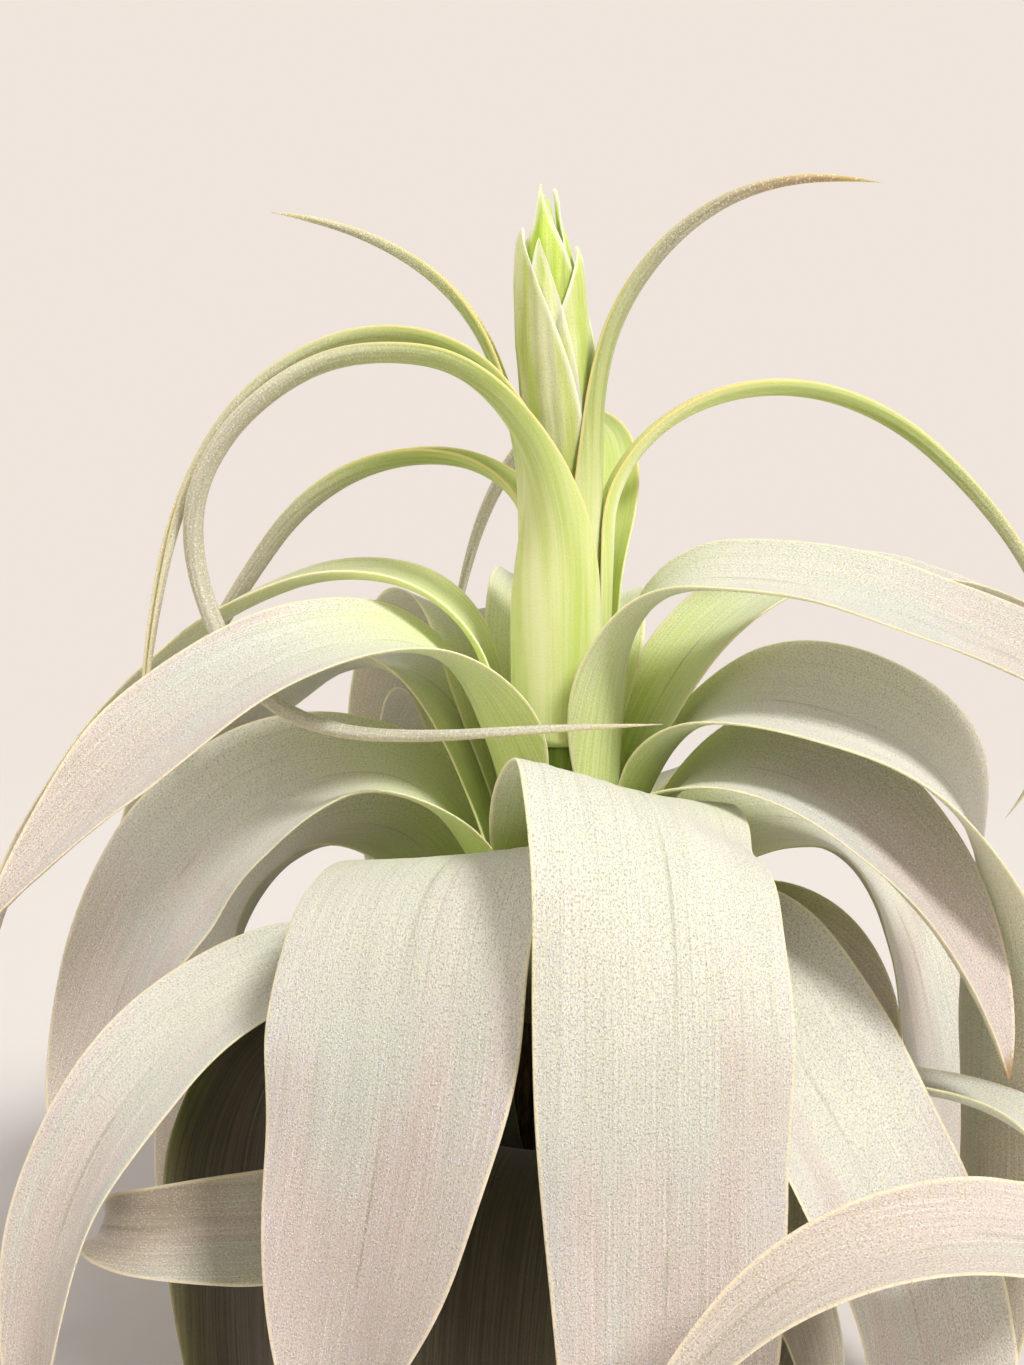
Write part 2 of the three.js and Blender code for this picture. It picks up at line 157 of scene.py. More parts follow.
leaf("low_right_leaf", -31, 137.8, 155, 43,
     [[0, 77], [36, 62], [66, 2], [98, -40], [140, -65], [155, -72]],
     green=62, turn=[[0, 0], [50, -4], [80, -5]], roll=[[0, 0], [60, 14], [96, 8], [130, 0]])
leaf("left_leaf", -175, 137.5, 200, 50.5,
     [[0, 77], [34, 56], [58, -3], [88, -38], [124, -64], [200, -84]],
     green=56, roll=[[0, 0], [56, -6], [80, -26], [104, -38], [200, -40]])
leaf("right_leaf", -6, 146, 290, 48,
     [[0, 80], [38, 63], [70, 6], [98, -22], [124, -66], [146, -86], [265, -90], [290, -120]],
     green=62, turn=[[0, 0], [40, -24], [75, -30], [110, -10], [160, 24], [290, 26]],
     roll=[[0, 0], [70, 14], [130, 8], [200, 0]])
leaf("upper_right_leaf", -24, 160, 217, 37,
     [[0, 90], [43, 86], [59, 53], [77, 5], [123, -18], [183, -28], [217, -58]],
     standoff=2.2, green=66, roll=[[0, 0], [76, 10], [146, 15]])
leaf("inner_right_leaf", 22, 150, 216, 30,
     [[0, 80], [36, 67], [56, 52], [80, 26], [102, 0], [140, -17], [180, -34], [216, -50]],
     green=95, roll=[[0, 0], [80, 6]])
leaf("upper_left_leaf", -154, 163, 174, 38,
     [[0, 82], [36, 66], [62, 10], [90, -20], [130, -42], [174, -46]],
     green=70, roll=[[0, 0], [60, -8], [95, -15], [130, -26], [174, -10]])
leaf("slender_left_leaf", 176, 174, 250, 24,
     [[0, 82], [32, 73], [60, 12], [86, -20], [120, -40], [165, -56], [250, -84]],
     standoff=1.3, green=120, turn=[[0, 0], [60, -6], [250, 4]])
leaf("back_right_leaf", 72, 108, 258, 50,
     [[0, 77], [40, 60], [72, 0], [104, -50], [140, -72], [226, -88], [258, -124]],
     roll=[[0, 0], [90, -8]])
leaf("back_left_leaf", 158, 110.5, 238, 45,
     [[0, 77], [40, 60], [65, -4], [92, -47], [122, -74], [182, -86], [220, -92], [238, -112]],
     age=0.35, turn=[[0, 0], [66, 0], [112, 42], [158, 54]], roll=[[0, 0], [80, -10], [110, 0]])
leaf("right_back_leaf", 14, 112, 250, 48,
     [[0, 78], [40, 61], [69, -2], [97, -47], [129, -74], [224, -88], [250, -116]],
     age=0.35, turn=[[0, 0], [68, 0], [112, -48], [160, -60]],
     roll=[[0, 0], [70, 14], [110, 0]])
leaf("back_leaf", 108, 126, 274, 50,
     [[0, 77], [40, 61], [72, 0], [104, -52], [140, -76], [244, -88], [274, -122]],
     roll=[[0, 0], [90, 10]])
leaf("upper_back_leaf", 111, 151, 240, 44,
     [[0, 80], [40, 66], [74, 4], [108, -30], [150, -52], [200, -70], [240, -84]],
     green=76, roll=[[0, 0], [90, 6]])
leaf("upper_back_left_leaf", 144, 141, 235, 42,
     [[0, 82], [40, 68], [72, 4], [105, -26], [150, -46], [200, -62], [235, -80]],
     green=74, roll=[[0, 0], [90, 12]])
leaf("upper_back_right_leaf", 86, 160, 225, 42,
     [[0, 82], [38, 68], [66, 4], [100, -24], [145, -44], [195, -60], [225, -80]],
     green=76, roll=[[0, 0], [90, 8]])

leaf("back_left_bract", 109, 181, 225, 18,
     [[0, 88], [34, 86], [54, 71], [68, 32], [82, 4], [109, -28], [134, -52], [185, -60], [225, -80]],
     kind="whip", slot="bract", standoff=1.6, tendril=13, green=130,
     turn=[[0, 0], [40, 0], [60, 46], [80, 55], [225, 55]])
leaf("curling_bract", -97, 188, 312, 23,
     [[0, 89], [42, 88], [62, 72], [86, 38], [99, 8], [113, -6], [128, -28], [144, -44], [159, -64],
      [172, -87], [191, -118], [209, -147], [227, -170], [247, -184], [272, -189], [312, -185]],
     kind="whip", slot="bract", standoff=5.1, green=130,
     turn=[[0, 0], [30, 0], [55, -60], [90, -93], [130, -95], [160, -93], [190, -123], [212, -123],
           [245, -113], [312, -100]],
     roll=[[0, 0], [30, 0], [55, 40], [80, 36], [105, 10], [130, 0]])
leaf("left_arch_bract", -104, 187, 234, 24,
     [[0, 89], [45, 89], [62, 72], [81, 57], [96, 24], [108, 5], [127, -20], [149, -44], [167, -62],
      [188, -72], [234, -80]],
     kind="whip", slot="bract", standoff=1.9, green=150,
     turn=[[0, 0], [35, 0], [60, -58], [82, -88], [100, -97], [131, -87], [150, -77], [168, -64],
           [188, -36], [234, -11]],
     roll=[[0, 0], [35, 0], [60, 40], [82, 32], [105, 10], [131, 0]])
leaf("right_arch_bract", 10, 187, 240, 19,
     [[0, 89], [50, 88], [60, 66], [72, 44], [84, 24], [98, 6], [117, -18], [140, -40], [165, -51],
      [190, -68], [210, -95], [240, -125]],
     kind="whip", slot="bract", standoff=2.8, green=190, turn=[[0, 0], [60, -10], [240, -16]])
leaf("upper_right_bract", -25, 196, 155, 20,
     [[0, 89], [64, 89], [79, 76], [89, 63], [101, 50], [115, 34], [130, 14], [146, -4], [155, -9]],
     kind="whip", slot="bract", standoff=0.3, green=105, age=0.8)
leaf("upper_left_bract", 175, 197, 140, 17,
     [[0, 89], [46, 89], [60, 78], [78, 68], [92, 50], [107, 32], [124, 18], [140, 8]],
     kind="whip", slot="bract", standoff=0.2, green=110)
leaf("rear_arch_bract", 40, 197, 196, 15,
     [[0, 87], [26, 84], [42, 62], [58, 36], [76, 12], [100, -14], [124, -40], [156, -64], [196, -80]],
     kind="whip", slot="bract", standoff=4.6, green=120,
     turn=[[0, 0], [22, 2], [44, 40], [74, 66], [120, 86], [196, 96]])

# ---------------------------------------------------------------- blades


def mix(low, high, share):
    return low + (high - low) * share


def smoothstep(start, end, value):
    """The cubic ease 3x^2 - 2x^3 of value's share of the way from start to end."""
    share = np.clip((value - start) / (end - start), 0, 1)
    return share * share * (3 - 2 * share)


def eased(stations, distance):
    """A table of [distance, value] read with straight runs, then averaged over SOFTENED each way,
    with the most weight in the middle."""
    places, values = np.array(stations, float).T
    shifts = np.linspace(-SOFTENED, SOFTENED, EASING_READS)
    read = np.interp(distance[None, :] + shifts[:, None], places, values)
    return np.average(read, axis=0, weights=1.25 * SOFTENED - abs(shifts))


def stem_radius(height):
    radii, heights = np.array(STEM_PROFILE, float).T
    return float(np.interp(height, heights, radii))


def midline(spec, count):
    """Walks from the seat: each step adds forward, the unit vector of the slope and heading there.
    side is level and square to the heading, tilted about forward by roll; up is forward x side."""
    length, azimuth = spec["length"], math.radians(spec["azimuth"])
    radius = stem_radius(spec["seat"]) + SEAT_GAP + SOLID_THICKNESS / 2 + spec["standoff"]

    def directions(distance):
        slope = np.radians(eased(spec["pitch"], distance))
        heading = azimuth + np.radians(eased(spec["turn"], distance))
        tilt = np.radians(eased(spec["roll"], distance))[:, None]
        flat = np.zeros_like(slope)
        forward = np.stack([np.cos(slope) * np.cos(heading), np.cos(slope) * np.sin(heading),
                            np.sin(slope)], axis=1)
        level = np.stack([-np.sin(heading), np.cos(heading), flat], axis=1)
        square = np.cross(forward, level)
        side = level * np.cos(tilt) + square * np.sin(tilt)
        return forward, side, np.cross(forward, side)

    distance = np.linspace(0, length, count + 1)
    steps = directions((distance[1:] + distance[:-1]) / 2)[0] * (length / count)
    seat = [[radius * math.cos(azimuth), radius * math.sin(azimuth), spec["seat"]]]
    points = np.concatenate([seat, np.array(seat) + np.cumsum(steps, axis=0)])
    return distance, points, *directions(distance)


def half_width(spec, share):
    """Half the blade's width at the share t of its length. A strap is full after the root, then falls
    off as (1 - t^4)^0.9. A whip narrows from its sheath to a tendril, as (1 - t^2.5)^0.8."""
    width = spec["width"]
    if spec["kind"] == "strap":
        return width / 2 * mix(ROOT_SHARE, 1, smoothstep(0, ROOT_DONE, share)) * (1 - share ** 4) ** 0.9
    slender = mix(width, spec["tendril"],
                  smoothstep(SHEATH_NARROWS, SHEATH_DONE, share * spec["length"]))
    return slender / 2 * (1 - share ** 2.5) ** 0.8


ACROSS = np.concatenate([[-1, -0.992, -0.97], np.linspace(-0.92, 0.92, 23), [0.97, 0.992, 1]])
ROUND = np.concatenate([ACROSS, ACROSS[-2:0:-1]])  # over a section's inner face and back
MARGIN_TO_MARGIN = np.ones(len(ACROSS) - 2)
FACE = np.concatenate([[0], MARGIN_TO_MARGIN, [0], -MARGIN_TO_MARGIN])  # 1 inner, -1 outer, 0 margin
ROUNDED = 0.03  # share of the half width over which a margin is rounded off


def lens_section(q, beside_margin):
    """The thickness at q across a blade as a share of its middle's: a parabola that falls to
    beside_margin, then a quarter ellipse down to nothing at the margin itself."""
    past = np.minimum(np.maximum(abs(q) - (1 - ROUNDED), 0) / ROUNDED, 1)
    return mix(1, beside_margin, q ** 2) * np.sqrt(1 - past ** 2)


def channel(spec, distance, share):
    """Half the angle of the arc that the blade's section follows; below 0 it is arched."""
    if spec["kind"] == "whip":
        return mix(*WHIP_CUPS, smoothstep(*TENDRIL_ROLLS, distance))
    cup = mix(spec.get("cup", STRAP_CUP), TIP_CUP, smoothstep(0.5, 1, share))
    return np.where(abs(cup) < FLATTEST_CUP, FLATTEST_CUP, cup)


def section_places(points, side, up, half, cup, distance):
    """Places the section's points and gives the way out from its middle surface at each. Near the
    root a ring lies on the stem's round, and further out on an arc of its own, radius half width /
    cup."""
    q = ROUND
    arc = (half / cup)[:, None, None]
    own = smoothstep(SHEATH_START, SHEATH_END, distance)[:, None, None]
    reach = np.maximum(np.hypot(points[:, 0], points[:, 1]), 1)[:, None]
    swing = q[None, :] * half[:, None] / reach
    turned = [np.cos(swing), np.sin(swing)]

    def about_stem(v):
        x, y, z = (v[:, k][:, None] for k in range(3))
        return np.stack([x * turned[0] - y * turned[1], x * turned[1] + y * turned[0],
                         z + 0 * swing], axis=2)

    bend = (cup[:, None] * q[None, :])[:, :, None]
    cupped = (points[:, None, :] + side[:, None, :] * arc * np.sin(bend)
              + up[:, None, :] * arc * (1 - np.cos(bend)))
    cupped_up = up[:, None, :] * np.cos(bend) - side[:, None, :] * np.sin(bend)
    place = mix(about_stem(points), cupped, own)
    out = mix(about_stem(up), cupped_up, own)
    return place, out / np.linalg.norm(out, axis=2, keepdims=True)


def middle_thickness(spec, distance, share, half):
    """The blade's thickness along its middle."""
    grown = mix(BLADE_THICKNESS, TIP_THICKNESS, share)
    middle = mix(ROOT_THICKNESS, grown, smoothstep(0, THICKENED, distance))
    if spec["kind"] == "whip":
        middle = middle * mix(1, TENDRIL_THICKER, smoothstep(*TENDRIL_THICKENS, distance))
    return np.minimum(middle, 0.9 * half)


def strap_relief(across, half, distance, waves):
    """How far a strap's surface is raised by fine ribs and a shallow fold along its length, and by
    the slow waves of its margins."""
    q, along = ROUND[None, :], distance[:, None]
    ribs = sum(np.sin(across * 2 * math.pi / width + phase)
               for width, phase in zip(RIB_WIDTHS, waves[1:4]))
    ribs = RIB_HEIGHT * ribs * (1 - q ** 8) * smoothstep(*RIBS_START, along)
    bent = abs(q - FOLD_OFFSET * math.sin(waves[0] * 3))
    ribs = ribs + FOLD_HEIGHT * (bent - bent ** 2 - FOLD_LEVEL) * smoothstep(*FOLD_START, along)
    margin = np.where(q < 0, waves[4], waves[5])
    wave = abs(q) ** 3 * (np.sin(along / WAVE_LENGTHS[0] + margin)
                          + SECOND_WAVE * np.sin(along / WAVE_LENGTHS[1] + 2 * margin))
    wave = wave * smoothstep(*WAVES_START, along) * np.minimum(half[:, None] * WAVE_SHARE, HIGHEST_WAVE)
    return ribs, wave


def blade(spec, seed):
    """A closed blade: rings of points across its inner face and back across its outer one, a thin
    lens in section. Returns points, quads, triangles and the surface fields."""
    chance = np.random.default_rng(seed)
    count = max(FEWEST_SECTIONS, round(spec["length"] / SECTION_STEP))
    distance, points, _, side, up = midline(spec, count)
    tip = points[-1]
    distance, points, side, up = (x[:-1] for x in (distance, points, side, up))
    share = distance / spec["length"]
    half = half_width(spec, share)
    waves = chance.uniform(0, 2 * math.pi, 6)
    waver = EDGE_WAVER * smoothstep(*WAVES_START, distance)
    half = half * (1 + waver * np.sin(distance / EDGE_WAVER_LENGTH + waves[0]))
    half = np.maximum(half, NARROWEST_HALF)
    place, out = section_places(points, side, up, half, channel(spec, distance, share), distance)

    middle = middle_thickness(spec, distance, share, half)[:, None]
    raised = middle / 2 * lens_section(ROUND, 0.42)[None, :] * FACE[None, :]
    across = ROUND[None, :] * half[:, None]
    if spec["kind"] == "strap":
        ribs, wave = strap_relief(across, half, distance, waves)
        raised = raised + ribs + wave
    rings = place + out * raised[:, :, None]
    edge = (1 - abs(ROUND))[None, :] * half[:, None]
    return *closed_rings(rings, points[0], tip), blade_fields(across, distance, edge, spec, seed)


def ring_quads(count, around):
    """The quads between count rings of around points each."""
    i, j = np.meshgrid(np.arange(count - 1), np.arange(around), indexing="ij")
    k = (j + 1) % around
    return np.stack([i * around + j, (i + 1) * around + j, (i + 1) * around + k, i * around + k],
                    axis=2).reshape(-1, 4)


def fan(centre, start, around):
    """Triangles from the point centre to the ring of around points that begins at start."""
    j = np.arange(around)
    return np.stack([np.full(around, centre), start + j, start + (j + 1) % around], axis=1)


def closed_rings(rings, root, tip):
    """Faces over a stack of rings of points, closed by the points root and tip."""
    count, around = rings.shape[:2]
    verts = np.concatenate([rings.reshape(-1, 3), [root], [tip]])
    at_root = fan(count * around, 0, around)
    at_tip = fan(count * around + 1, (count - 1) * around, around)[:, [0, 2, 1]]
    return verts, ring_quads(count, around), np.concatenate([at_root, at_tip])


def blade_fields(across, distance, edge, spec, seed):
    """The surface fields that the finishes read. lie: millimetres across and along, and the seed.
    margin: millimetres from the margin, 1 on the inner face and -1 on the outer one, and the share of
    the length. growth: age, reach of the green, and the length."""
    length = spec["length"]

    def field(a, b, c, at_root, at_tip):
        grid = np.stack([x + 0 * across for x in (a, b, c)], axis=2).reshape(-1, 3)
        return np.concatenate([grid, [at_root], [at_tip]])

    growth = [spec["age"], spec["green"], length]
    return {
        "lie": field(across, distance[:, None], 41.0 * seed, [0, 0, 41.0 * seed],
                     [0, length, 41.0 * seed]),
        "margin": field(edge, FACE[None, :], distance[:, None] / length, [edge.max(), 0, 0], [0, 0, 1]),
        "growth": field(*growth, growth, growth),
    }


def rings_round(radii, heights, sides):
    """A ring of points round +Z at each radius and height."""
    angle = np.linspace(0, 2 * math.pi, sides, endpoint=False)[None, :]
    radii, heights = radii[:, None], heights[:, None]
    return np.stack([radii * np.cos(angle), radii * np.sin(angle), heights + 0 * angle], axis=2)


def lathe(radii, heights, sides):
    """A profile turned round +Z and closed by a pole at each end."""
    poles = [0, 0, heights[0]], [0, 0, heights[-1]]
    verts, quads, triangles = closed_rings(rings_round(radii, heights, sides), *poles)
    return verts, quads[:, [0, 3, 2, 1]], triangles[:, [0, 2, 1]]


def spike_sheath(azimuth, top, spread, inside, seat, seed):
    """A pointed sheath that hugs the spike. At the share t of its height its arc reaches to both sides
    of its azimuth by spread (1 - t^1.9)^0.9, at the radius of SHEATH_FORM less inside. Its margins are
    thin and stand off a little, and its tip leans out."""
    heights = np.linspace(seat, top, SHEATH_SECTIONS)[:-1]
    share = (heights - seat) / (top - seat)
    q = ROUND
    places, radii = np.array(SHEATH_FORM, float).T
    radius = np.interp(heights, places, radii) - inside
    radius = radius + (0.5 + 0.35 * inside) * smoothstep(0.8, 1, share)
    angle = math.radians(spread) * (1 - share ** 1.9) ** 0.9
    across = q[None, :] * (angle * radius)[:, None]
    lift = 0.5 * abs(q[None, :]) ** 5 * smoothstep(0.25, 0.6, share)[:, None]
    wave = 0.12 * np.sin(across * 2 * math.pi / 3.4 + seed) * (1 - q[None, :] ** 6)
    thick = SHEATH_HALF_THICKNESS * lens_section(q, 0.4) * FACE
    out = radius[:, None] + lift + wave - thick[None, :]
    turned = math.radians(azimuth) + q[None, :] * angle[:, None]
    rings = np.stack([out * np.cos(turned), out * np.sin(turned), heights[:, None] + 0 * out], axis=2)
    ends = [[r * math.cos(math.radians(azimuth)), r * math.sin(math.radians(azimuth)), z]
            for r, z in ((radius[0], seat), (radius[-1], top))]
    edge = (1 - abs(q))[None, :] * (angle * radius)[:, None]
    bud = min(1.0, max(0.0, inside - BUD_STARTS_INSIDE))
    spec = {"age": bud, "green": 60, "length": top - seat}
    return *closed_rings(rings, *ends), blade_fields(across, heights - seat, edge, spec, seed)


def spike_core():
    """The spike's turned core, coloured as the bud and without margins."""
    radii, places = np.array(SPIKE_CORE, float).T
    heights = np.linspace(places[0], CORE_TOP, CORE_SECTIONS)
    narrowed = np.interp(heights, places, radii) - CORE_INSET * smoothstep(*CORE_NARROWS, heights)
    verts, quads, triangles = lathe(narrowed, heights, CORE_SIDES)
    flat = np.zeros(len(verts))
    fields = {"lie": np.stack([np.arctan2(verts[:, 1], verts[:, 0]) * 7, verts[:, 2], flat], axis=1),
              "margin": np.stack([flat + 9, flat - 1, flat + 0.4], axis=1),
              "growth": np.stack([flat + 1, flat + 60, flat + 126], axis=1)}
    return verts, quads, triangles, fields


def spike_shape():
    """The core with its seven sheaths, leaned sideways near the top."""
    parts = [spike_sheath(*sheath, FIRST_SHEATH_SEED + number)
             for number, sheath in enumerate(SPIKE_SHEATHS)]
    verts, quads, triangles, fields = joined([*parts, spike_core()])
    verts[:, 0] -= SPIKE_LEAN * np.maximum(0, verts[:, 2] - SPIKE_LEANS_FROM)
    return verts, quads, triangles, fields


def stem_shape():
    """The stem's profile turned round +Z, with a shallow ring where each old leaf has come away."""
    radii, places = np.array(STEM_PROFILE, float).T
    heights = np.linspace(0, places[-1], STEM_SECTIONS)
    rings = RING_INSET + RING_DEPTH * np.cos(heights * 2 * math.pi / RING_SPACING)
    return *lathe(np.interp(heights, places, radii) - rings, heights, STEM_SIDES), {}


def joined(parts):
    """Several closed surfaces in one mesh: each one's faces count on from the points before it."""
    verts, quads, triangles, fields, start = [], [], [], {}, 0
    for v, f, t, more in parts:
        verts.append(v)
        quads.append(f + start)
        triangles.append(t + start)
        for name, values in more.items():
            fields.setdefault(name, []).append(values)
        start += len(v)
    return (np.concatenate(verts), np.concatenate(quads), np.concatenate(triangles),
            {name: np.concatenate(values) for name, values in fields.items()})


def place_piece(name, shape, finish, node):
    """Makes the mesh, in metres, with its fields as vector attributes, in place of the CAD node."""
    verts, quads, triangles, fields = shape
    mesh = bpy.data.meshes.new(name)
    mesh.from_pydata((verts * MM).tolist(), [], quads.tolist() + triangles.tolist())
    for field, values in fields.items():
        attribute = mesh.attributes.new(field, "FLOAT_VECTOR", "POINT")
        attribute.data.foreach_set("vector", np.ascontiguousarray(values, np.float32).ravel())
    mesh.shade_smooth()
    mesh.materials.append(finish)
    piece = bpy.data.objects.new(name, mesh)
    bpy.context.scene.collection.objects.link(piece)
    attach(piece, "root")
    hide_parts(node)


# ---------------------------------------------------------------- finishes


def tone(red, green, blue):
    """A colour given as 0 to 255 on screen, in linear light with full alpha."""
    levels = (c / 255 for c in (red, green, blue))
    return tuple(c / 12.92 if c <= 0.04045 else ((c + 0.055) / 1.055) ** 2.4 for c in levels) + (1.0,)


class Wire:
    """A socket in a shader expression: each operator on it adds one Math node."""

    def __init__(self, finish, socket):
        self.finish, self.socket = finish, socket

    def math(self, operation, *values):
        return self.finish.node("ShaderNodeMath", {"operation": operation},
                                dict(enumerate(values)))

    def __add__(self, other):
        return self.math("ADD", self, other)

    def __sub__(self, other):
        return self.math("SUBTRACT", self, other)

    def __rsub__(self, other):
        return self.math("SUBTRACT", other, self)

    def __mul__(self, other):
        return self.math("MULTIPLY", self, other)

    def __truediv__(self, other):
        return self.math("DIVIDE", self, other)

    def __abs__(self):
        return self.math("ABSOLUTE", self)

    __radd__ = __add__


class Finish:
    """One material and the nodes that paint it."""

    def __init__(self, name, **constants):
        self.material = bpy.data.materials.new(name)
        self.material.use_nodes = True
        self.tree = self.material.node_tree
        self.shader = self.tree.nodes["Principled BSDF"]
        for socket, value in constants.items():
            self.shader.inputs[socket.replace("_", " ")].default_value = value

    def link(self, value, socket):
        if isinstance(value, Wire):
            self.tree.links.new(value.socket, socket)
        else:
            socket.default_value = value

    def node(self, kind, settings, sockets, output=0):
        made = self.tree.nodes.new(kind)
        for name, value in settings.items():
            setattr(made, name, value)
        for name, value in sockets.items():
            self.link(value, made.inputs[name])
        return Wire(self, made.outputs[output])

    def ease(self, value, start, end):
        """0 before start, 1 past end, and a smooth step between, also where end is the lower."""
        return self.node("ShaderNodeMapRange", {"interpolation_type": "SMOOTHSTEP"},
                         {"Value": value, "From Min": start, "From Max": end})

    def blend(self, share, first, second):
        return self.node("ShaderNodeMix", {"data_type": "RGBA"}, {0: share, 6: first, 7: second}, 2)

    def field(self, name):
        """A surface field as a vector, and its three values."""
        vector = self.node("ShaderNodeAttribute", {"attribute_name": name}, {}, "Vector")
        split = self.tree.nodes.new("ShaderNodeSeparateXYZ")
        self.tree.links.new(vector.socket, split.inputs[0])
        return vector, *(Wire(self, split.outputs[k]) for k in range(3))

    def grain(self, vector, stretch, detail=2.0, roughness=0.5):
        """Noise whose grains measure 1 / stretch along each direction of the vector."""
        scaled = self.node("ShaderNodeVectorMath", {"operation": "MULTIPLY"},
                           {0: vector, 1: stretch})
        return self.node("ShaderNodeTexNoise", {},
                         {"Vector": scaled, "Scale": 1.0, "Detail": detail, "Roughness": roughness},
                         "Fac")

    def cells(self, vector, stretch):
        """Distance to the nearest of scattered points, 1 / stretch apart."""
        scaled = self.node("ShaderNodeVectorMath", {"operation": "MULTIPLY"},
                           {0: vector, 1: stretch})
        return self.node("ShaderNodeTexVoronoi", {}, {"Vector": scaled, "Scale": 1.0},
                         "Distance")

    def paint(self, colour, roughness, relief, depth):
        """Feeds the shader: colour, roughness, and relief times depth in metres as a bump."""
        normal = self.node("ShaderNodeBump", {}, {"Height": relief, "Distance": depth,
                                                  "Strength": 1.0})
        self.link(colour, self.shader.inputs["Base Color"])
        self.link(roughness, self.shader.inputs["Roughness"])
        self.link(normal, self.shader.inputs["Normal"])
        return self.material


LEAF_RELIEF, BRACT_RELIEF, SPIKE_RELIEF, STEM_RELIEF = 0.00026, 0.00018, 0.00016, 0.0006  # metres
SOFT_GREEN = {"Sheen_Weight": 0.15, "Specular_IOR_Level": 0.3, "Subsurface_Weight": 0.5,
              "Subsurface_Scale": 0.0035, "Subsurface_Radius": (0.8, 1.0, 0.4)}
# painted shade: the region near the stem where the oldest leaves are painted dark brown as shade
PAINTED_SHADE_RADIUS, PAINTED_SHADE_HEIGHT = (0.089, 0.102), (0.118, 0.15)  # metres: the dark among the front leaves
# painted shade: how far along a low leaf's root, and how high, its outer face is painted dark brown as
# shade
SHADED_ROOT_REACH, SHADED_ROOT_HEIGHT = (34.0, 62.0), (0.128, 0.15)  # along a leaf, and in metres
STEM_GREENS = (0.142, 0.156)  # metres above the surface


